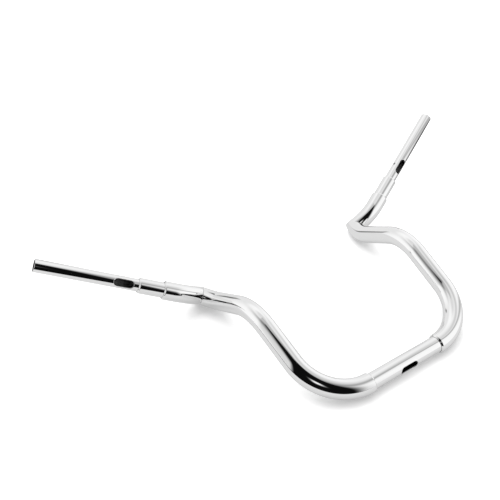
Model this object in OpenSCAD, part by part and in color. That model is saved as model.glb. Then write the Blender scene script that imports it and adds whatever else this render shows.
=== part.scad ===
// Peaked ape hanger handlebar: a clamp tube in the middle, two bent risers, two peak tubes that are
// mitred to them, and a sleeve and a hand tube at each end. It lies as it rests on a flat floor.
// X runs along the clamp tube, Z is up from the floor, and the origin is the clamp tube's middle.

/* [Hand tubes] */
// Outside diameter of the hand tubes, which the grips and switches fit
hand_od = 25.4; // [22.2:0.1:25.4]
// Wall of a hand tube
hand_wall = 2.4; // [1.6:0.1:3]
// Length of a hand tube that shows
hand_shown = 200; // [190:1:260]
// Length of a hand tube inside its sleeve
hand_seat = 45; // [20:1:60]

/* [Sleeves] */
// Wall of the sleeve between a hand tube and a peak tube
sleeve_wall = 3.25; // [2:0.05:4]
// Length of a sleeve that shows
sleeve_shown = 52; // [40:1:80]
// Length of a sleeve inside its peak tube
sleeve_seat = 20; // [10:1:24]

/* [Fat tubes] */
// Wall of the risers and the peak tubes
fat_wall = 3.25; // [2:0.05:4]
// Centreline radius of every bend
bend_r = 101.6; // [90:0.1:110]
// Straight at a riser's lower end, before its first bend
riser_foot = 3; // [3:0.5:20]
// First bend, from the clamp tube's line up to the riser
first_bend = 87; // [84:0.5:90]
// Straight between the first and the second bend
lower_straight = 83; // [60:1:100]
// Second bend, out of the first bend's plane
second_bend = 50.5; // [46:0.5:54]
// Turn about the tube from the first bend's plane to the second's
second_turn = -90; // [-94:1:-86]
// Straight between the second and the third bend
upper_straight = 83; // [60:1:100]
// Third bend, into the peak
third_bend = 35.5; // [32:0.5:38]
// Turn about the tube from the second bend's plane to the third's
third_turn = -138; // [-142:1:-134]

/* [Peaks] */
// Angle through which the tubes' line kinks at the mitre
kink = 85; // [80:0.5:88]
// Turn about the tube from the third bend's plane to the kink's
kink_turn = 16.5; // [12:0.5:20]
// Straight from the mitre to the peak tube's bend, along its middle line
peak_foot = 11; // [5:0.5:20]
// Bend of the peak tube, back the other way
peak_bend = 34; // [30:0.5:38]
// Straight at the peak tube's open end
peak_tail = 25; // [25:0.5:40]

/* [Clamp tube] */
// Wall of the clamp tube
clamp_wall = 2.4; // [2:0.1:4]
// Length of the clamp tube that shows between the risers
clamp_shown = 160; // [120:1:200]
// Length of the clamp tube inside each riser
clamp_seat = 5; // [2:0.5:5]

/* [Wiring holes] */
// Length of each wiring slot, over its round ends
slot_len = 40; // [30:1:50]
// Width of each wiring slot
slot_w = 15; // [8:0.5:16]
// Turn about the clamp tube from the first bend's inner side to its slot
clamp_slot_turn = 158; // [0:1:360]
// Turn about a hand tube from the last bend's inner side to its slot
hand_slot_turn = 177; // [0:1:360]
// Distance from the left hand tube's open end to the middle of its slot
left_slot_place = 170; // [120:1:175]
// Distance from the right hand tube's open end to the middle of its slot
right_slot_place = 161; // [120:1:175]
// Diameter of the small hole a quarter turn from each hand tube's slot
pin_hole_d = 6; // [3:0.5:8]

/* [Fits and edges] */
// Gap between a tube and the bore that it slides into, on the radius
slip = 0.125; // [0.05:0.025:0.3]
// Amount that is turned off a tube, on the radius, where it enters the next
spigot_cut = 0.2; // [0.15:0.05:0.4]
// Gap between the two faces of a mitre, and between a tube's shoulder and the tube that it enters
seam = 0.04; // [0.02:0.01:0.2]
// Bevel on a tube's outer edge at a step
step_bevel = 1; // [0.2:0.1:1.5]
// Bevel on both edges of a hand tube's open end
mouth_bevel = 0.6; // [0.2:0.1:0.8]

/* [Hidden] */
$fn = 72;

// Each tube's turned-down end slides into the next, so each size follows from the one inside it
sleeve_bore = hand_od - 2 * spigot_cut + 2 * slip;
sleeve_od = sleeve_bore + 2 * sleeve_wall;
fat_bore = sleeve_od - 2 * spigot_cut + 2 * slip;
fat_od = fat_bore + 2 * fat_wall;
clamp_od = sleeve_od;

// A straight runs this far into the bend beside it, whose wall is this much thicker on each side, so
// that a bent tube is one solid and no two of its surfaces run together
lap = 1;
swell = 0.05;

// A frame is [place, direction of the tube, direction towards the inside of the bend]
function unit(v) = v / norm(v);
function turned(v, axis, angle) =
    v * cos(angle) + cross(axis, v) * sin(angle) + axis * (axis * v) * (1 - cos(angle));
function along(frame, distance) = [frame[0] + frame[1] * distance, frame[1], frame[2]];
function rolled(frame, angle) = [frame[0], frame[1], turned(frame[2], frame[1], angle)];
function swung(frame, angle) =
    let (axis = cross(frame[1], frame[2]))
    [frame[0], turned(frame[1], axis, angle), turned(frame[2], axis, angle)];
function past_bend(frame, angle) =
    let (end = swung(frame, angle))
    [frame[0] + (frame[2] - end[2]) * bend_r, end[1], end[2]];

// What the end of a straight, a turn and a bend, or of several of them in a row, makes of a frame
function past_step(frame, step) = past_bend(rolled(along(frame, step[0]), step[1]), step[2]);
function past_steps(frame, steps, i = 0) =
    i == len(steps) ? frame : past_steps(past_step(frame, steps[i]), steps, i + 1);

// Each fat tube as [straight, turn, bend] steps
riser_steps = [
    [riser_foot, 0, first_bend],
    [lower_straight, second_turn, second_bend],
    [upper_straight, third_turn, third_bend]
];
peak_steps = [[peak_foot, 180, peak_bend]];

// The right half's line, from the clamp tube's middle to the hand tube's open end
middle = [[0, 0, 0], [1, 0, 0], [0, 1, 0]];
riser_start = along(middle, clamp_shown / 2);
mitre_below = rolled(past_steps(riser_start, riser_steps), kink_turn);
mitre_above = swung(mitre_below, kink);
sleeve_step = along(past_steps(mitre_above, peak_steps), peak_tail);
hand_step = along(sleeve_step, sleeve_shown);
open_end = along(hand_step, hand_shown);

// The mitre's outline is an ellipse, and it rests on the floor with the risers' lower ends. This finds
// the tilt about the clamp tube at which both are equally low.
across_mitre = unit(cross(mitre_below[1], mitre_above[1]));
peak_way = unit(mitre_below[1] - mitre_above[1]);
function peak_low(tilt) =
    let (up = [0, sin(tilt), cos(tilt)])
    mitre_below[0] * up
    - fat_od / 2 * norm([across_mitre * up, peak_way * up / cos(kink / 2)]);
least_tilt = 0;
most_tilt = 60;
halvings = 40;
function resting_tilt(low, high, tries) =
    let (mid = (low + high) / 2)
    tries == 0 ? mid
    : peak_low(mid) < -fat_od / 2 ? resting_tilt(mid, high, tries - 1)
    : resting_tilt(low, mid, tries - 1);
rest_tilt = resting_tilt(least_tilt, most_tilt, halvings);

// Length past the mitre's middle that a fat tube needs before the cut, and the size of the cut
mitre_reach = fat_od / 2 * tan(kink / 2) + fat_wall;
cut_size = 4 * fat_od;

// Puts its children in a frame: their Z along the tube and their X towards the inside of the bend
module at(frame) {
    side = cross(frame[1], frame[2]);
    multmatrix([
        [frame[2].x, side.x, frame[1].x, frame[0].x],
        [frame[2].y, side.y, frame[1].y, frame[0].y],
        [frame[2].z, side.z, frame[1].z, frame[0].z]
    ]) children();
}

module lying() rotate([rest_tilt, 0, 0]) children();

// A straight tube from one height to another, with bevels on the edges of its ends
module tube(from, to, od, wall, low_bevel = 0, high_bevel = 0, mouth = 0) {
    r = od / 2;
    bore = r - wall;
    rotate_extrude() polygon([
        [bore, from], [r - low_bevel, from], [r, from + low_bevel],
        [r, to - high_bevel], [r - high_bevel, to], [bore + mouth, to], [bore, to - mouth]
    ]);
}

// What is turned off the outside of a tube between two heights
module turned_off(from, to, od)
    rotate_extrude() translate([od / 2 - spigot_cut, from]) square([od, to - from]);

// A bend of a fat tube, from its start on the Z axis towards X
module fat_bend(angle) {
    translate([bend_r, 0, 0]) rotate([90, 0, 180])
        rotate_extrude(angle = angle) translate([bend_r, 0]) difference() {
            circle(d = fat_od + 2 * swell);
            circle(d = fat_bore - 2 * swell);
        }
}

// A fat tube that follows its steps up from the Z axis and ends in one more straight
module fat_run(steps, last, low_bevel = 0, high_bevel = 0, i = 0) {
    start = i == 0 ? 0 : -lap;
    if (i == len(steps)) {
        tube(start, last, fat_od, fat_wall, 0, high_bevel);
    } else {
        tube(start, steps[i][0] + lap, fat_od, fat_wall, low_bevel);
        translate([0, 0, steps[i][0]]) rotate([0, 0, steps[i][1]]) {
            fat_bend(steps[i][2]);
            translate([bend_r, 0, 0]) rotate([0, steps[i][2], 0]) translate([-bend_r, 0, 0])
                fat_run(steps, last, 0, high_bevel, i + 1);
        }
    }
}

// Everything beyond the mitre's plane, seen along the frame's Z
module beyond_mitre(angle)
    rotate([0, angle, 0]) translate([-cut_size / 2, -cut_size / 2, -seam / 2]) cube(cut_size);

// Everything before the mitre's plane
module before_mitre(angle)
    rotate([0, angle, 0]) translate([-cut_size / 2, -cut_size / 2, seam / 2 - cut_size]) cube(cut_size);

// A punch with round ends, from the tube's middle out along X
module slot_punch(od) {
    rotate([0, 90, 0]) linear_extrude(od) {
        square([slot_len - slot_w, slot_w], center = true);
        for (side = [-1, 1]) translate([side * (slot_len - slot_w) / 2, 0]) circle(d = slot_w);
    }
}

module clamp_tube() {
    half = clamp_shown / 2;
    color("gainsboro") lying() difference() {
        at(middle) difference() {
            tube(-half - clamp_seat, half + clamp_seat, clamp_od, clamp_wall);
            turned_off(-half - 2 * clamp_seat, -half + seam, clamp_od);
            turned_off(half - seam, half + 2 * clamp_seat, clamp_od);
        }
        at(rolled(middle, clamp_slot_turn)) slot_punch(clamp_od);
    }
}

module riser() {
    color("silver") lying() difference() {
        at(riser_start) fat_run(riser_steps, mitre_reach, low_bevel = step_bevel);
        at(mitre_below) beyond_mitre(kink / 2);
    }
}

module peak_tube() {
    color("silver") lying() difference() {
        at(mitre_above) translate([0, 0, -mitre_reach])
            fat_run([peak_steps[0] + [mitre_reach, 0, 0]], peak_tail, high_bevel = step_bevel);
        at(mitre_above) before_mitre(-kink / 2);
    }
}

module sleeve() {
    color("gainsboro") lying() at(sleeve_step) difference() {
        tube(-sleeve_seat, sleeve_shown, sleeve_od, sleeve_wall, high_bevel = step_bevel);
        turned_off(-2 * sleeve_seat, seam, sleeve_od);
    }
}

module hand_tube(slot_place) {
    slot_frame = rolled(along(open_end, -slot_place), hand_slot_turn);
    color("gainsboro") lying() difference() {
        at(hand_step) difference() {
            tube(-hand_seat, hand_shown, hand_od, hand_wall, 0, mouth_bevel, mouth_bevel);
            turned_off(-2 * hand_seat, seam, hand_od);
        }
        at(slot_frame) slot_punch(hand_od);
        at(rolled(slot_frame, -90)) rotate([0, 90, 0]) cylinder(h = hand_od, d = pin_hole_d);
    }
}

clamp_tube();
mirror([1, 0, 0]) riser();  // left_riser
riser();  // right_riser
mirror([1, 0, 0]) peak_tube();  // left_peak_tube
peak_tube();  // right_peak_tube
mirror([1, 0, 0]) sleeve();  // left_sleeve
sleeve();  // right_sleeve
mirror([1, 0, 0]) hand_tube(left_slot_place);  // left_hand_tube
hand_tube(right_slot_place);  // right_hand_tube
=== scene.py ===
"""Peaked ape hanger handlebar of stepped, chromed steel tube, lying on a pale studio floor.

X runs along the clamp tube to the rider's right, Y over the floor towards the peaks and Z up. The
origin is the middle of the clamp tube, and every length is in metres.
"""

import math

import bmesh
import bpy
import numpy as np
from mathutils import Matrix, Vector


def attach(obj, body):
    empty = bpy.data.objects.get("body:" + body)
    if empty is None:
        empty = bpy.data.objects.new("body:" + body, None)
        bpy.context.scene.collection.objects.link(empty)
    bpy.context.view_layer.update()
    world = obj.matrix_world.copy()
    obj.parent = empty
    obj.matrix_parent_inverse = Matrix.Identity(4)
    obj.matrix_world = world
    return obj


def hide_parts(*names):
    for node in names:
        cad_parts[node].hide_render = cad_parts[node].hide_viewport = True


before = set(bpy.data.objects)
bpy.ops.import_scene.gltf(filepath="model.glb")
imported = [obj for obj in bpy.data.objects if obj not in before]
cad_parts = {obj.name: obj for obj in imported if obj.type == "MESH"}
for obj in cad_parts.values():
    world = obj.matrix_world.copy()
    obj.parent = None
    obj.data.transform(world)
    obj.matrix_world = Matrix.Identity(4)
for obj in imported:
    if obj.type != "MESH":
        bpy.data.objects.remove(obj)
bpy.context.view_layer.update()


# Clamp tube
# The thinner middle of the bar, which the riser clamps grip. It is drawn steel tube, turned down a
# little at both ends to slide into the risers, with a slot punched through its front wall for the
# switch wires. It is ground, nickel and chrome plated, and polished with the rest of the bar.
MM = 0.001
CLAMP_OD, CLAMP_WALL, CLAMP_SHOWN, CLAMP_SEAT = 31.75 * MM, 2.4 * MM, 160 * MM, 5 * MM
SLOT_LONG, SLOT_WIDE, SLOT_LIP, BORE_LIP = 40 * MM, 15 * MM, 0.8 * MM, 0.3 * MM
SPIGOT_CUT, SEAM, BEND_R = 0.2 * MM, 0.04 * MM, 101.6 * MM
# Degrees from the floor up to the way that the risers first bend, and from there round to the slot.
REST_TILT, CLAMP_SLOT_TURN = 21.0859, 158
# The plating knows by these marks where it is: outside, on a cut face, deep in a bore, or where a bore
# is painted near black as painted shade: near an open end as far in as the last value below, all along
# a bore that has no open end, and round the holes inside.
OUTSIDE, CUT, DULL, PAINTED_SHADE, MOUTH_SHADE_DEPTH = 0, 0.5, 0.8, 1, 15 * MM
# Points round a tube, the greatest step along it, the rounding of its turned edges, and how near two
# points are one.
ROUND, PITCH, EDGE, MERGE = 96, 4 * MM, 0.12 * MM, 0.002 * MM
# Rows round a corner, the share of a short face that they may take, and where the row beside them is.
CORNER_ROWS, CORNER_SHARE, BESIDE, HAIR = 6, 0.3, 1.5, 1e-6
# The patch of wall round a slot: half its length, half its angle, and its cells along and round.
SLOT_PATCH = (24 * MM, math.radians(60), 24, 32)
# Rings of a patch over the outside, over the bore, round a lip and through the wall. They crowd
# towards the hole by CROWDED, and a lip stays bright until near the cut by LIP_SHINE.
OUTER_RINGS, BORE_RINGS, CROWDED, LIP_SHINE = 9, 5, 0.75, 8
LIP_RINGS, CUT_RINGS = np.radians([15, 30, 45, 60, 75, 90]), (0.15, 0.5, 0.85)


def turned(vector, axis, angle):
    """vector turned about a unit axis: v cos a + (axis x v) sin a + axis (axis . v)(1 - cos a)."""
    cosine, sine = np.cos(angle)[..., None], np.sin(angle)[..., None]
    along = np.sum(vector * axis, -1)[..., None] * axis
    return vector * cosine + np.cross(axis, vector) * sine + along * (1 - cosine)


def legs_of(place, way, inner, steps):
    """The legs of a tube's middle line, from its start, the way that it points and the side towards
    its first bend. Each step is (straight, turn of that side about the line, bend towards it)."""
    place, way, inner = (np.array(v, float) for v in (place, way, inner))
    legs, gone, phase = [], 0.0, 0.0
    for straight, turn, bend in steps:
        legs.append((gone, place, way, inner, 0.0, phase))
        place, gone = place + way * straight, gone + straight
        if bend:
            phase += math.radians(turn)
            inner = turned(inner, way, np.radians(turn))
            legs.append((gone, place, way, inner, BEND_R, phase))
            side = np.cross(way, inner)
            past_bend = turned(inner, side, np.radians(bend))
            place = place + BEND_R * (inner - past_bend)
            way, inner = turned(way, side, np.radians(bend)), past_bend
            gone += BEND_R * math.radians(bend)
    return legs, (gone, place, way, inner)


def wall_points(legs, s, angle, radius):
    """Points on a tube at distance s along its middle line. Round the line, a point is at
    radius (inner cos(angle - phase) + side sin(angle - phase)), where phase is the sum of the turns
    between bends, so that lines of equal angle run on without a jump."""
    s, angle, radius = np.broadcast_arrays(np.asarray(s, float), angle, radius)
    points = np.zeros(s.shape + (3,))
    for k, (gone, place, way, inner, bend_radius, phase) in enumerate(legs):
        side, d = np.cross(way, inner), s - gone
        now = np.broadcast_to(inner, s.shape + (3,))
        if bend_radius:
            now = turned(now, side, d / bend_radius)
            line = place + bend_radius * (inner - now)
        else:
            line = place + d[..., None] * way
        a = (angle - phase)[..., None]
        there = line + radius[..., None] * (now * np.cos(a) + side * np.sin(a))
        points = np.where((s >= gone)[..., None] if k else True, there, points)
    return points


def outline(corners, rounding, pitch, ranges=()):
    """Rows (s, radius, inside) round the section of a tube's wall. Each corner becomes a quadratic
    curve (1-t)^2 a + 2t(1-t) b + t^2 c from rounding before it to rounding past it, with one more row
    on each side so that the long faces stay true. Rows no further apart than pitch fill the rest,
    and a range (low, high, count) has just its own evenly spaced rows."""
    rows, t = [], np.linspace(0, 1, CORNER_ROWS)[:, None]
    corners = np.array(corners, float)
    for a, b, c in zip(np.roll(corners, 1, 0), corners, np.roll(corners, -1, 0)):
        back, on = (a - b)[:2], (c - b)[:2]
        back_long, on_long = np.linalg.norm(back), np.linalg.norm(on)
        reach = min(rounding, back_long * CORNER_SHARE, on_long * CORNER_SHARE)
        back, on = reach * back / back_long, reach * on / on_long
        curve = b[:2] + (1 - t) ** 2 * back + t ** 2 * on
        curve = np.vstack([b[:2] + back * BESIDE, curve, b[:2] + on * BESIDE])
        rows.append(np.column_stack([curve, np.full(len(curve), b[2])]))
    rows = np.vstack(rows)
    filled = []
    for a, b in zip(rows, np.roll(rows, -1, 0)):
        shares = np.arange(0, 1, pitch / max(np.linalg.norm((b - a)[:2]), pitch))
        shares = np.linspace(0, 1, len(shares) + 1)[:-1]
        for low, high, count in ranges:
            if abs(b[0] - a[0]) > high - low:
                stops = (np.linspace(low, high, count + 1) - a[0]) / (b[0] - a[0])
                beyond = (shares < stops.min() - HAIR) | (shares > stops.max() + HAIR)
                shares = np.sort(np.concatenate([shares[beyond], stops]))
        filled.append(a + (b - a) * shares[:, None])
    return np.vstack(filled)


def slot_range(middle):
    """The range of rows that lines up with the patch of a slot in the middle of it."""
    half_s, _, rows, _ = SLOT_PATCH
    return middle - half_s, middle + half_s, rows


def punched(s_middle, angle_middle, od, wall, long, wide, lip, patch):
    """A patch of a tube's wall round a hole with round ends: its s, angle, radius and inside. Rings of
    points run from the patch's edge over the outside to the hole, through the wall, and over the bore
    back to the edge. In the plane across the punch the hole's rim is the edge point's nearest point
    on the hole's middle line, plus the hole's radius towards the edge point."""
    half_s, half_angle, rows, columns = patch
    r, bore = od / 2, od / 2 - wall
    x = np.linspace(-half_s, half_s, rows + 1)
    a = np.linspace(-half_angle, half_angle, columns + 1)
    edge_x = np.concatenate([x[:-1], np.full(columns, half_s), x[:0:-1], np.full(columns, -half_s)])
    edge_a = np.concatenate([np.full(rows, -half_angle), a[:-1], np.full(rows, half_angle), a[:0:-1]])
    core = np.clip(edge_x, -(long - wide) / 2, (long - wide) / 2)
    middle = np.stack([core, 0 * core], -1)
    rings = []
    for radius, inwards, shares, soft in ((r, 1, np.linspace(0, 1, OUTER_RINGS), lip),
                                          (bore, -1, np.linspace(1, 0, BORE_RINGS), BORE_LIP)):
        outer = radius == r
        edge = np.stack([edge_x, radius * np.sin(edge_a)], -1)
        towards = edge - middle
        towards /= np.linalg.norm(towards, axis=1)[:, None]
        hole = middle + towards * wide / 2
        rim = hole + towards * soft
        # Over the bore, the patch round a hole is marked for painted shade.
        face = [(edge + (rim - edge) * t ** CROWDED, radius, OUTSIDE if outer else PAINTED_SHADE) for t in shares]
        curl = [(hole + towards * soft * (1 - math.sin(b)), radius - inwards * soft * (1 - math.cos(b)),
                 CUT * math.sin(b) ** LIP_SHINE if outer else CUT) for b in LIP_RINGS]
        rings += face + curl if outer else curl[::-1] + face
        if outer:
            rings += [(hole, r - lip - (wall - lip - BORE_LIP) * t, CUT) for t in CUT_RINGS]
    xy = np.stack([ring for ring, _, _ in rings])
    radius, inside = (np.array([ring[k] for ring in rings], float)[:, None] + 0 * core for k in (1, 2))
    return s_middle + xy[..., 0], angle_middle + np.arcsin(xy[..., 1] / radius), radius, inside


def tube_piece(name, legs, rows, holes=(), side=1, cut=None):
    """A tube as one closed mesh: the rows swept round the line, less the cells that the patches with
    holes stand in for. side is -1 for the mirror image of the right-hand tube."""
    angles = np.arange(ROUND) * 2 * math.pi / ROUND
    s, angle, radius, inside = np.broadcast_arrays(rows[:, :1], angles, rows[:, 1:2], rows[:, 2:3])
    if cut:
        s = cut(s, angle, radius)
    s_next = np.roll(s, -1, 0)
    keep = np.full(s.shape, True)
    for hole_s, hole_angle, _, _ in holes:
        across = angle + math.pi / ROUND - (hole_angle.min() + hole_angle.max()) / 2
        within = np.abs((across + math.pi) % (2 * math.pi) - math.pi) < np.ptp(hole_angle) / 2
        within &= ((s + s_next) / 2 > hole_s.min()) & ((s + s_next) / 2 < hole_s.max())
        keep &= ~within | (np.abs(s - s_next) < HAIR * MM)
    points, quads, far, depth, count = [], [], [], [], 0
    for k, (s, angle, radius, inside) in enumerate([(s, angle, radius, inside), *holes]):
        ids = count + np.arange(s.size).reshape(s.shape)
        right, below = np.roll(ids, -1, 1), np.roll(ids, -1, 0)
        cells = np.stack([ids, right, np.roll(below, -1, 1), below], -1)
        quads.append(cells[keep] if k == 0 else cells[:-1].reshape(-1, 4))
        points.append(wall_points(legs, s, angle, radius).reshape(-1, 3))
        far.append(s.ravel())
        depth.append(inside.ravel())
        count += s.size
    mesh = bpy.data.meshes.new(name)
    mesh.from_pydata((np.vstack(points) * [side, 1, 1]).tolist(), [], np.vstack(quads).tolist())
    for label, values in (("along", far), ("inside", depth)):
        layer = mesh.attributes.new(label, "FLOAT", "POINT")
        layer.data.foreach_set("value", np.concatenate(values).astype(np.float32))
    work = bmesh.new()
    work.from_mesh(mesh)
    bmesh.ops.remove_doubles(work, verts=work.verts, dist=MERGE)
    bmesh.ops.delete(work, geom=[v for v in work.verts if not v.link_faces], context="VERTS")
    bmesh.ops.recalc_face_normals(work, faces=work.faces)
    work.to_mesh(mesh)
    work.free()
    mesh.shade_smooth()
    piece = bpy.data.objects.new(name, mesh)
    bpy.context.scene.collection.objects.link(piece)
    return piece


def tube_corners(start, end, od, wall, low_shoulder=0, high_shoulder=0,
                 low_bevel=(0, 0), high_bevel=(0, 0), mouth=0):
    """The corners (s, radius, inside) of a tube's wall in section: out along the outside, over the end
    face, and back along the bore. A shoulder is where a turned-down end begins, a bevel has its length
    along the tube and its depth, and mouth is the bevel of an open end's bore."""
    r, bore = od / 2, od / 2 - wall
    low_r, high_r = r - SPIGOT_CUT * bool(low_shoulder), r - SPIGOT_CUT * bool(high_shoulder)
    corners = [(start, low_r - low_bevel[1], OUTSIDE)]
    corners += [(start + low_bevel[0], low_r, OUTSIDE)] * bool(low_bevel[0])
    corners += [(low_shoulder, low_r, OUTSIDE), (low_shoulder, r, OUTSIDE)] * bool(low_shoulder)
    corners += [(high_shoulder, r, OUTSIDE), (high_shoulder, high_r, OUTSIDE)] * bool(high_shoulder)
    corners += [(end - high_bevel[0], high_r, OUTSIDE)] * bool(high_bevel[0])
    # The bore is marked for painted shade: near an open end, or all along a tube that has none.
    corners += [(end, high_r - high_bevel[1], OUTSIDE), (end, bore + mouth, PAINTED_SHADE)]
    if mouth:
        corners += [(end - mouth, bore, PAINTED_SHADE), (end - MOUTH_SHADE_DEPTH, bore, PAINTED_SHADE)]
        corners += [(end - 2 * MOUTH_SHADE_DEPTH, bore, DULL)]
    return corners + [(start, bore, DULL if mouth else PAINTED_SHADE)]


tilt = math.radians(REST_TILT)
middle_way, middle_inner = np.array([1.0, 0, 0]), np.array([0, math.cos(tilt), math.sin(tilt)])
clamp_end = CLAMP_SHOWN + 2 * CLAMP_SEAT
clamp_side = turned(middle_inner, middle_way, np.radians(CLAMP_SLOT_TURN))
clamp_legs, _ = legs_of(-middle_way * clamp_end / 2, middle_way, clamp_side, [(clamp_end, 0, 0)])
clamp_corners = tube_corners(0, clamp_end, CLAMP_OD, CLAMP_WALL,
                             CLAMP_SEAT + SEAM, clamp_end - CLAMP_SEAT - SEAM)
clamp_rows = outline(clamp_corners, EDGE, PITCH, [slot_range(clamp_end / 2)])
clamp_slot = punched(clamp_end / 2, 0, CLAMP_OD, CLAMP_WALL, SLOT_LONG, SLOT_WIDE, SLOT_LIP, SLOT_PATCH)
clamp_tube = tube_piece("clamp_tube_plated", clamp_legs, clamp_rows, [clamp_slot])
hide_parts("clamp_tube")
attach(clamp_tube, "root")
pieces = [clamp_tube]


# Risers
# Two fat steel tubes, each bent three times over one former: up from the clamp tube, out of that
# bend's plane, and into the peak, where the end is cut to the mitre. The lower end is bevelled and
# welded round the clamp tube.
SIDES = (("left", -1), ("right", 1))
FAT_OD, FAT_WALL, STEP_BEVEL = 38.1 * MM, 3.25 * MM, (2.7 * MM, 2.2 * MM)
# For each bend: the straight before it, the turn out of the last bend's plane, and the bend.
RISER_STEPS = [(3 * MM, 0, 87), (83 * MM, -90, 50.5), (83 * MM, -138, 35.5)]
# The angle at the mitre and its turn, its bevel, how far back from it the rows stretch, and how often
# the search for its plane halves.
KINK, KINK_TURN = np.radians(85), np.radians(16.5)
MITRE_EDGE, MITRE_SPAN, HALVINGS = (0.6 * MM, 0.6 * MM), 24 * MM, 30
BUFFED, BENT_PITCH = 0.4 * MM, 2.5 * MM


def mitred(legs, place, normal, fixed, end):
    """A function that stretches the rows between fixed and end so that end's own lie on the mitre's
    plane: s = fixed + (met - fixed)(s - fixed) / (end - fixed). The plane is met where
    (point - place) . normal changes sign, found by halving."""
    def cut(s, angle, radius):
        near, far = np.full(s.shape, fixed), np.full(s.shape, 2 * end - fixed)
        sign = np.sign(end - fixed)
        for _ in range(HALVINGS):
            middle = (near + far) / 2
            short = sign * ((wall_points(legs, middle, angle, radius) - place) @ normal) < 0
            near, far = np.where(short, middle, near), np.where(short, far, middle)
        share = (s - fixed) / (end - fixed)
        return np.where(share > 0, fixed + (near - fixed) * share, s)
    return cut


riser_legs, (riser_end, peak, below, below_inner) = legs_of(
    middle_way * CLAMP_SHOWN / 2, middle_way, middle_inner, RISER_STEPS)
riser_legs.append((riser_end, peak, below, below_inner, 0.0, riser_legs[-1][5]))
kink_inner = turned(below_inner, below, KINK_TURN)
kink_axis = np.cross(below, kink_inner)
above, above_inner = turned(below, kink_axis, KINK), turned(kink_inner, kink_axis, KINK)
mitre_normal = (below + above) / np.linalg.norm(below + above)
riser_corners = tube_corners(0, riser_end - SEAM / 2, FAT_OD, FAT_WALL,
                             low_bevel=STEP_BEVEL, high_bevel=MITRE_EDGE)
riser_rows = outline(riser_corners, BUFFED, BENT_PITCH)
riser_cut = mitred(riser_legs, peak, mitre_normal, riser_end - MITRE_SPAN, riser_end)
for label, side in SIDES:
    riser = tube_piece(label + "_riser_plated", riser_legs, riser_rows, side=side, cut=riser_cut)
    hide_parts(label + "_riser")
    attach(riser, "root")
    pieces.append(riser)


# Peak tubes
# A short length of the same fat tube on top of each riser, mitred to it at a sharp corner, welded,
# and ground until only a fine line shows. One bend turns it out towards the hand.
PEAK_FOOT, PEAK_TURN, PEAK_BEND, PEAK_TAIL = 11 * MM, 180, 34, 25 * MM

peak_legs, (peak_end, tail_end, hand_way, hand_inner) = legs_of(
    peak, above, above_inner, [(PEAK_FOOT, PEAK_TURN, PEAK_BEND)])
peak_legs.append((peak_end, tail_end, hand_way, hand_inner, 0.0, peak_legs[-1][5]))
tail_end, peak_end = tail_end + hand_way * PEAK_TAIL, peak_end + PEAK_TAIL
peak_corners = tube_corners(SEAM / 2, peak_end, FAT_OD, FAT_WALL,
                            low_bevel=MITRE_EDGE, high_bevel=STEP_BEVEL)
peak_rows = outline(peak_corners, BUFFED, BENT_PITCH)
peak_cut = mitred(peak_legs, peak, mitre_normal, MITRE_SPAN, 0.0)
for label, side in SIDES:
    peak_tube = tube_piece(label + "_peak_tube_plated", peak_legs, peak_rows, side=side, cut=peak_cut)
    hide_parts(label + "_peak_tube")
    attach(peak_tube, "root")
    pieces.append(peak_tube)


# Sleeves
# The middle step between fat tube and hand tube: a short steel tube whose turned-down end slides into
# the peak tube and whose bore takes the hand tube. Its outer end has a bevelled edge.
SLEEVE_OD, SLEEVE_WALL, SLEEVE_SHOWN, SLEEVE_SEAT = 31.75 * MM, 3.25 * MM, 52 * MM, 20 * MM

sleeve_end = SLEEVE_SEAT + SLEEVE_SHOWN
sleeve_start = tail_end - hand_way * SLEEVE_SEAT
sleeve_legs, _ = legs_of(sleeve_start, hand_way, hand_inner, [(sleeve_end, 0, 0)])
sleeve_corners = tube_corners(0, sleeve_end, SLEEVE_OD, SLEEVE_WALL, SLEEVE_SEAT + SEAM,
                              high_bevel=STEP_BEVEL)
sleeve_rows = outline(sleeve_corners, BUFFED, PITCH)
for label, side in SIDES:
    sleeve = tube_piece(label + "_sleeve_plated", sleeve_legs, sleeve_rows, side=side)
    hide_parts(label + "_sleeve")
    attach(sleeve, "root")
    pieces.append(sleeve)


# Hand tubes
# One-inch steel tube for the grip, the throttle and the switches, turned down where it enters its
# sleeve. The switch wires enter by a slot, with a small hole a quarter turn from it for the
# housing's pin. Both edges of the open end are bevelled.
HAND_OD, HAND_WALL, HAND_SHOWN, HAND_SEAT = 25.4 * MM, 2.4 * MM, 200 * MM, 45 * MM
HAND_SLOT_TURN, MOUTH_IN, MOUTH_OUT = 177, 1.0 * MM, 0.4 * MM
LEFT_SLOT_FROM_END, RIGHT_SLOT_FROM_END = 170 * MM, 161 * MM
PIN_HOLE, PIN_LIP, PIN_TURN = 6 * MM, 0.3 * MM, -math.pi / 2
PIN_PATCH = (8 * MM, math.radians(26.25), 8, 14)

hand_start = tail_end + hand_way * (SLEEVE_SHOWN - HAND_SEAT)
hand_end = HAND_SEAT + HAND_SHOWN
slot_side = turned(hand_inner, hand_way, np.radians(HAND_SLOT_TURN))
hand_legs, _ = legs_of(hand_start, hand_way, slot_side, [(hand_end, 0, 0)])
hand_corners = tube_corners(0, hand_end, HAND_OD, HAND_WALL, HAND_SEAT + SEAM,
                            high_bevel=(MOUTH_OUT, MOUTH_OUT), mouth=MOUTH_IN)
for (label, side), from_end in zip(SIDES, (LEFT_SLOT_FROM_END, RIGHT_SLOT_FROM_END)):
    slot_s = hand_end - from_end
    hand_rows = outline(hand_corners, EDGE, PITCH, [slot_range(slot_s)])
    slot = punched(slot_s, 0, HAND_OD, HAND_WALL, SLOT_LONG, SLOT_WIDE, SLOT_LIP, SLOT_PATCH)
    hole = punched(slot_s, PIN_TURN, HAND_OD, HAND_WALL, PIN_HOLE, PIN_HOLE, PIN_LIP, PIN_PATCH)
    hand_tube = tube_piece(label + "_hand_tube_plated", hand_legs, hand_rows, [slot, hole], side=side)
    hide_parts(label + "_hand_tube")
    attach(hand_tube, "root")
    pieces.append(hand_tube)
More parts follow.
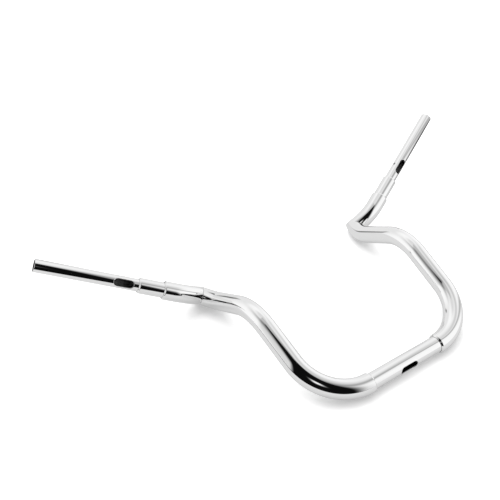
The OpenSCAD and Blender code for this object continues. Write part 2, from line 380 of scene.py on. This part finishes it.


# Plating
# Every tube has the same finish: bright chrome over nickel on ground and polished steel. Buffing leaves
# very fine lines round the tube and a faint waviness, and handling a thin haze in places. Punched and
# turned faces are duller, and the bores take only a dull flash of plating. Shade is painted into the
# bores as near black: at the open ends, all along the bores that have no open end, and round the
# holes inside.
class Wire:
    """A shader socket. Sums of wires and numbers add the Math nodes for them."""

    def __init__(self, tree, socket=None):
        self.tree, self.socket = tree, socket

    def put(self, kind, inputs=None, out=0, **settings):
        """A node of any kind, with its settings made first, then the values or links of its sockets."""
        node = self.tree.nodes.new(kind)
        for name, value in settings.items():
            setattr(node, name, value)
        for name, value in (inputs or {}).items():
            if isinstance(value, Wire):
                self.tree.links.new(value.socket, node.inputs[name])
            else:
                node.inputs[name].default_value = value
        return Wire(self.tree, node.outputs[out] if node.outputs else None)

    def maths(self, operation, *values):
        return self.put("ShaderNodeMath", dict(enumerate(values)), operation=operation)

    def __add__(self, other):
        return self.maths("ADD", self, other)

    def __sub__(self, other):
        return self.maths("SUBTRACT", self, other)

    def __rsub__(self, other):
        return self.maths("SUBTRACT", other, self)

    def __mul__(self, other):
        return self.maths("MULTIPLY", self, other)

    def __truediv__(self, other):
        return self.maths("DIVIDE", self, other)

    def __pow__(self, other):
        return self.maths("POWER", self, other)

    def __mod__(self, other):
        return self.maths("FLOORED_MODULO", self, other)

    __radd__, __rmul__ = __add__, __mul__

    def eased(self, low, high):
        """0 below low, 1 above high, and smooth in between."""
        return self.put("ShaderNodeMapRange", {"Value": self, "From Min": low, "From Max": high},
                        interpolation_type="SMOOTHSTEP")

    def dot(self, direction):
        """The length of this vector along a fixed direction."""
        return self.put("ShaderNodeVectorMath", {0: self, 1: direction}, "Value", operation="DOT_PRODUCT")


def new_material(name):
    material = bpy.data.materials.new(name)
    material.use_nodes = True
    material.node_tree.nodes.clear()
    return material, Wire(material.node_tree)


def grey(level):
    return level, level, level, 1


def mixed(share, first, second):
    """The colour first where share is 0 and second where it is 1."""
    return share.put("ShaderNodeMix", {0: share, 6: first, 7: second}, 2, data_type="RGBA")


# The last colour is painted shade: the near black that stands for the shade deep inside a tube.
BRIGHT, CUT_FACE, BORE_DULL, BORE_STAIN, BORE_PAINTED_SHADE = grey(0.95), grey(0.82), grey(0.5), grey(0.25), grey(0.02)
# How the marks of a surface ease into a cut face, a bore and the painted shade in a bore.
CUT_EASE, BORE_EASE, PAINTED_SHADE_EASE, HAZE_EASE = (0.1, 0.45), (0.55, 0.75), (0.82, 0.96), (0.5, 0.78)
# Noise scales, per metre: buffing lines and how they wander, waves, haze and stains.
LINES, WANDER, WANDER_REACH, WAVES, HAZE, STAINS = 2400.0, 60.0, 0.002, 38.0, 16.0, 220.0
# Roughness of clean plating and what haze, lines, a cut face, a bore and a stain add to it.
POLISH, HAZE_ADDS, LINES_ADD, CUT_ADDS, BORE_ADDS, STAIN_ADDS = 0.02, 0.03, 0.012, 0.42, 0.22, 0.2
# Relief in microns.
MICRON, LINE_DEPTH, WAVE_DEPTH = 1e-6, 0.25, 10.0

chrome, wire = new_material("chrome_plate")
place = wire.put("ShaderNodeTexCoord", out="Object")
along = wire.put("ShaderNodeAttribute", out="Fac", attribute_name="along")
inside = wire.put("ShaderNodeAttribute", out="Fac", attribute_name="inside")
cut_face, bore, painted_bore_shade = inside.eased(*CUT_EASE), inside.eased(*BORE_EASE), inside.eased(*PAINTED_SHADE_EASE)
wander = wire.put("ShaderNodeTexNoise", {"Vector": place, "Scale": WANDER, "Detail": 1.0})
buffing = wire.put("ShaderNodeTexNoise", {"W": along + wander * WANDER_REACH, "Scale": LINES, "Detail": 3.0},
                   noise_dimensions="1D")
waviness = wire.put("ShaderNodeTexNoise", {"Vector": place, "Scale": WAVES, "Detail": 1.0, "Roughness": 0.3})
haze = wire.put("ShaderNodeTexNoise", {"Vector": place, "Scale": HAZE, "Detail": 6.0, "Roughness": 0.62})
haze = haze.eased(*HAZE_EASE)
stain = wire.put("ShaderNodeTexNoise", {"Vector": place, "Scale": STAINS, "Detail": 4.0})
# Where a bore is marked for it, its colour is the painted shade.
bore_colour = mixed(painted_bore_shade, mixed(stain, BORE_DULL, BORE_STAIN), BORE_PAINTED_SHADE)
colour = mixed(bore, mixed(cut_face, BRIGHT, CUT_FACE), bore_colour)
roughness = POLISH + haze * HAZE_ADDS + buffing * LINES_ADD + cut_face * CUT_ADDS
roughness = roughness + bore * (BORE_ADDS + stain * STAIN_ADDS)
relief = wire.put("ShaderNodeBump", {"Strength": 1.0, "Distance": MICRON,
                                     "Height": buffing * LINE_DEPTH + waviness * WAVE_DEPTH})
shader = wire.put("ShaderNodeBsdfPrincipled", {"Base Color": colour, "Metallic": 1.0,
                                               "Roughness": roughness, "Normal": relief})
wire.put("ShaderNodeOutputMaterial", {"Surface": shader})
for piece in pieces:
    piece.data.materials.append(chrome)


# Floor
# A sheet of white paper that runs out of sight. For the camera and through glass it glows, least where
# the bar stands close over it, so that its shadows stay close. In the chrome it is greyer, ends where
# the surround's dark side begins, and is darker in a patch on the right.
FLOOR_Z, FLOOR_REACH, FLOOR_SHADE = -FAT_OD / 2, 8.0, grey(0.95)
SHADOW_REACH, SHADOW_EASE, SHADOW_SAMPLES = 0.1, (0.3, 0.86), 16
GLOW_LEAST, GLOW_OPEN, GLOW_MIRRORED, MIRRORED_SHARE = 0.16, 0.36, 0.6, 0.5
END_WAY, END_EASE = math.radians(225.3), (0.28, 0.39)
# A patch on the right where the sheet is darker in the chrome: its middle, its way, its length and width, and
# how much darker it is.
DIM_PATCH_AT, DIM_PATCH_WAY, DIM_PATCH_LONG, DIM_PATCH_WIDE, DIM_PATCH_DEPTH = (0.88, 0.335), math.radians(-42.3), 0.597, 0.219, 0.97


def rays(wire, kind):
    """1 for rays of one kind, such as Camera, and 0 for the others."""
    return wire.put("ShaderNodeLightPath", out="Is " + kind + " Ray")


def bump_of(power, *offsets):
    """1 where the offsets are 0 and 0 far out: e to the minus the sum of |offset|^power."""
    far = sum(offset.maths("ABSOLUTE", offset) ** power for offset in offsets)
    return far.maths("EXPONENT", far * -1.0)


floor_mesh = bpy.data.meshes.new("floor")
floor_corners = [(x * FLOOR_REACH, y * FLOOR_REACH, FLOOR_Z) for x, y in ((-1, -1), (1, -1), (1, 1), (-1, 1))]
floor_mesh.from_pydata(floor_corners, [], [(0, 1, 2, 3)])
floor = bpy.data.objects.new("floor", floor_mesh)
bpy.context.scene.collection.objects.link(floor)
paper, wire = new_material("white_paper")
mirrored = rays(wire, "Glossy")
open_sheet = wire.put("ShaderNodeAmbientOcclusion", {"Distance": SHADOW_REACH}, "AO", samples=SHADOW_SAMPLES)
glow = GLOW_LEAST + open_sheet.eased(*SHADOW_EASE) * GLOW_OPEN
glow = (rays(wire, "Camera") + rays(wire, "Transmission")) * glow + mirrored * GLOW_MIRRORED
glow = wire.put("ShaderNodeEmission", {"Color": glow, "Strength": 1.0})
sheet = wire.put("ShaderNodeBsdfDiffuse", {"Color": FLOOR_SHADE})
sheet = wire.put("ShaderNodeAddShader", {0: sheet, 1: glow})
on_floor = wire.put("ShaderNodeTexCoord", out="Object")
ended = on_floor.dot((math.cos(END_WAY), math.sin(END_WAY), 0)).eased(*END_EASE)
cosine, sine = math.cos(DIM_PATCH_WAY), math.sin(DIM_PATCH_WAY)
along_dim_patch = on_floor.dot((cosine, sine, 0)) - (DIM_PATCH_AT[0] * cosine + DIM_PATCH_AT[1] * sine)
across_dim_patch = on_floor.dot((-sine, cosine, 0)) - (DIM_PATCH_AT[1] * cosine - DIM_PATCH_AT[0] * sine)
dim_patch = bump_of(2.0, along_dim_patch / DIM_PATCH_LONG, across_dim_patch / DIM_PATCH_WIDE)
shown = (1 - ended) * (1 - dim_patch * DIM_PATCH_DEPTH) * MIRRORED_SHARE
black = wire.put("ShaderNodeEmission", {"Color": grey(0), "Strength": 0.0})
sheet = wire.put("ShaderNodeMixShader", {0: mirrored * (1 - shown), 1: sheet, 2: black})
wire.put("ShaderNodeOutputMaterial", {"Surface": sheet})
floor_mesh.materials.append(paper)


# Surround
# The white studio round the bar, as a shell that only the chrome mirrors. Its side behind the camera is
# dark from the floor to about 60 degrees up, with one small lamp in it. It is a little grey round that
# side, at the top, on the far wall, and at a leaning upright on the right.
DOME_MIDDLE, DOME_R, DOME_COLUMNS, DOME_ROWS = (0.061, 0.526, 0.5), 1.453, 96, 48
# A bearing is 0 on the dark side and grows clockwise seen from above. It and heights are in degrees.
# An edge is its place and softness, and a lean is degrees of bearing for each degree of height.
DARK_WAY = math.radians(-139)
DARK_FROM, DARK_FROM_LEAN, DARK_TO, DARK_TO_LEAN = (-44.2, 4.6), 0.2, (28.6, 3.0), 0.176
DARK_TOP, TOP_SLOPE, TOP_BEND, DARKEST = (59.9, 1.8), 0.244, 0.00458, 0.004
LAMP_AT, LAMP_REACH, LAMP_POWER = (-9.8, 12.8), (6.2, 7.2), 3.0
BORDER_FROM, BORDER_TO, BORDER_GREY = (-51.9, 5.4), (44.1, 5.4), 0.28
VEIL_AT, VEIL_REACH, VEIL_GREY = (-15.8, 44.5), (89.8, 17.4), 0.9
UPRIGHT_AT, UPRIGHT_LEAN, UPRIGHT_REACH, UPRIGHT_TOP, UPRIGHT_GREY = -99.0, 0.512, 5.7, (38.4, 6.0), 0.54
FAR_WALL_AT, FAR_WALL_REACH, FAR_WALL_TOP, FAR_WALL_GREY = 151.7, 47.3, (33.1, 8.0), 0.18
CEILING, CEILING_GREY = (68.0, 8.0), 0.26


def mirrors_only(piece):
    """Hides a piece from all but the mirror images in the chrome."""
    piece.visible_camera = piece.visible_diffuse = False
    piece.visible_transmission = piece.visible_shadow = False


turn, rise = np.meshgrid(np.linspace(0, 2 * math.pi, DOME_COLUMNS + 1)[:-1],
                         np.linspace(-math.pi / 2, math.pi / 2, DOME_ROWS + 1))
dome_points = np.stack([np.cos(rise) * np.sin(turn), np.cos(rise) * np.cos(turn), np.sin(rise)], -1)
dome_points = dome_points * DOME_R + DOME_MIDDLE
ids = np.arange(turn.size).reshape(turn.shape)
right, below_right = np.roll(ids, -1, 1), np.roll(np.roll(ids, -1, 1), -1, 0)
quads = np.stack([ids, right, below_right, np.roll(ids, -1, 0)], -1)[:-1]
dome_mesh = bpy.data.meshes.new("surround")
dome_mesh.from_pydata(dome_points.reshape(-1, 3).tolist(), [], quads.reshape(-1, 4).tolist())
dome = bpy.data.objects.new("surround", dome_mesh)
bpy.context.scene.collection.objects.link(dome)
mirrors_only(dome)
surround, wire = new_material("studio_surround")
spot = wire.put("ShaderNodeTexCoord", out="Object")
spot = wire.put("ShaderNodeVectorMath", {0: spot, 1: DOME_MIDDLE}, operation="SUBTRACT")
spot = wire.put("ShaderNodeVectorMath", {0: spot}, operation="NORMALIZE")
cosine, sine = math.cos(DARK_WAY), math.sin(DARK_WAY)
bearing = wire.maths("ARCTAN2", spot.dot((cosine, -sine, 0)), spot.dot((sine, cosine, 0))) * (180 / math.pi)
height = wire.maths("ARCSINE", spot.dot((0, 0, 1))) * (180 / math.pi)


def past(value, at, softness):
    """0 well below at and 1 well above it."""
    return value.eased(at - 1.5 * softness, at + 1.5 * softness)


def patch_at(middle, reach, power=2.0):
    """A soft patch round its middle, whose reach is its size across and up."""
    return bump_of(power, (bearing - middle[0]) / reach[0], (height - middle[1]) / reach[1])


dark = past(bearing + height * DARK_FROM_LEAN, *DARK_FROM)
dark = dark * (1 - past(bearing + height * DARK_TO_LEAN, *DARK_TO))
dark = dark * (1 - past(height + bearing * TOP_SLOPE + bearing * bearing * TOP_BEND, *DARK_TOP))
lamp = patch_at(LAMP_AT, LAMP_REACH, LAMP_POWER)
border = past(bearing, *BORDER_FROM) * (1 - past(bearing, *BORDER_TO))
veil = patch_at(VEIL_AT, VEIL_REACH)
upright = bump_of(2.0, (bearing - height * UPRIGHT_LEAN - UPRIGHT_AT) / UPRIGHT_REACH)
upright = upright * (1 - past(height, *UPRIGHT_TOP))
round_far = (bearing + (180 - FAR_WALL_AT)) / 360 % 1.0 - 0.5
far_wall = bump_of(4.0, round_far * (360 / FAR_WALL_REACH)) * (1 - past(height, *FAR_WALL_TOP))
level = (1 - border * BORDER_GREY) * (1 - veil * VEIL_GREY) * (1 - upright * UPRIGHT_GREY)
level = level * (1 - far_wall * FAR_WALL_GREY) * (1 - past(height, *CEILING) * CEILING_GREY)
level = level * (1 - dark) + dark * (lamp + DARKEST)
glow = wire.put("ShaderNodeEmission", {"Color": level, "Strength": 1.0})
wire.put("ShaderNodeOutputMaterial", {"Surface": glow})
surround.cycles.emission_sampling = "NONE"
dome_mesh.materials.append(surround)


# Stand
# A dark stand on the floor beyond the peaks, which fades out at its sides and top. Like the surround
# it is there for the chrome to mirror, but it stands near enough to need a place of its own.
STAND_AT, STAND_HALF, STAND_TALL = (-0.1, 1.235), 0.3, 0.6
STAND_REACH, STAND_FADE, STAND_SOLID, STAND_SHADE = 0.075, (0.05, 0.5), 0.95, grey(0.02)

stand_mesh = bpy.data.meshes.new("stand")
stand_corners = [(STAND_AT[0] + x, STAND_AT[1], FLOOR_Z + z) for x, z in (
    (-STAND_HALF, 0), (STAND_HALF, 0), (STAND_HALF, STAND_TALL), (-STAND_HALF, STAND_TALL))]
stand_mesh.from_pydata(stand_corners, [], [(0, 1, 2, 3)])
stand = bpy.data.objects.new("stand", stand_mesh)
bpy.context.scene.collection.objects.link(stand)
mirrors_only(stand)
stand_cloth, wire = new_material("stand_cloth")
on_stand = wire.put("ShaderNodeTexCoord", out="Object")
solid = bump_of(2.0, (on_stand.dot((1, 0, 0)) - STAND_AT[0]) / STAND_REACH)
solid = solid * (1 - on_stand.dot((0, 0, 1)).eased(*STAND_FADE)) * STAND_SOLID
clear = wire.put("ShaderNodeBsdfTransparent")
cloth = wire.put("ShaderNodeEmission", {"Color": STAND_SHADE, "Strength": 1.0})
cloth = wire.put("ShaderNodeMixShader", {0: solid, 1: clear, 2: cloth})
wire.put("ShaderNodeOutputMaterial", {"Surface": cloth})
stand_cloth.cycles.emission_sampling = "NONE"
stand_mesh.materials.append(stand_cloth)


# Light
# A wide soft lamp above the peaks, which the chrome doesn't mirror, and an even white room light. The
# camera, mirrors and glass see the room as plain white.
SUN_LIGHT, SUN_SPREAD, SUN_LEAN, WORLD_LIGHT = 1.45, math.radians(62), math.radians(37), 0.6

sun_data = bpy.data.lights.new("soft_light", "SUN")
sun_data.energy, sun_data.angle = SUN_LIGHT, SUN_SPREAD
sun = bpy.data.objects.new("soft_light", sun_data)
sun.rotation_euler = (-SUN_LEAN, 0, 0)
sun.visible_glossy = False
bpy.context.scene.collection.objects.link(sun)

world = bpy.data.worlds.new("studio")
bpy.context.scene.world = world
world.use_nodes = True
world.node_tree.nodes.clear()
wire = Wire(world.node_tree)
direct = wire.maths("MAXIMUM", rays(wire, "Camera"), rays(wire, "Glossy"))
direct = wire.maths("MAXIMUM", direct, rays(wire, "Transmission"))
sky = wire.put("ShaderNodeBackground", {"Color": direct * (1 - WORLD_LIGHT) + WORLD_LIGHT, "Strength": 1.0})
wire.put("ShaderNodeOutputWorld", {"Surface": sky})


# Camera
# The photograph's camera: its place, the way that it looks, its upright, its lens and sensor in
# millimetres, and its shift, all from one fit to the photograph.
CAMERA_AT, LENS, SENSOR, SHIFT = (-0.65721, -0.55844, 0.89434), 46.88, 36.0, (-0.001, 0.001)
CAMERA_LOOK, CAMERA_UP = (0.4158, 0.6811, -0.6027), (0.3582, 0.4865, 0.7969)

camera_data = bpy.data.cameras.new("camera")
camera = bpy.data.objects.new("camera", camera_data)
bpy.context.scene.collection.objects.link(camera)
look = Vector(CAMERA_LOOK).normalized()
across = look.cross(Vector(CAMERA_UP)).normalized()
axes = Matrix((across, across.cross(look), -look)).transposed().to_4x4()
camera.matrix_world = Matrix.Translation(CAMERA_AT) @ axes
camera_data.sensor_width, camera_data.lens = SENSOR, LENS
camera_data.shift_x, camera_data.shift_y = SHIFT
bpy.context.scene.camera = camera
bpy.context.scene.view_settings.view_transform = "Standard"
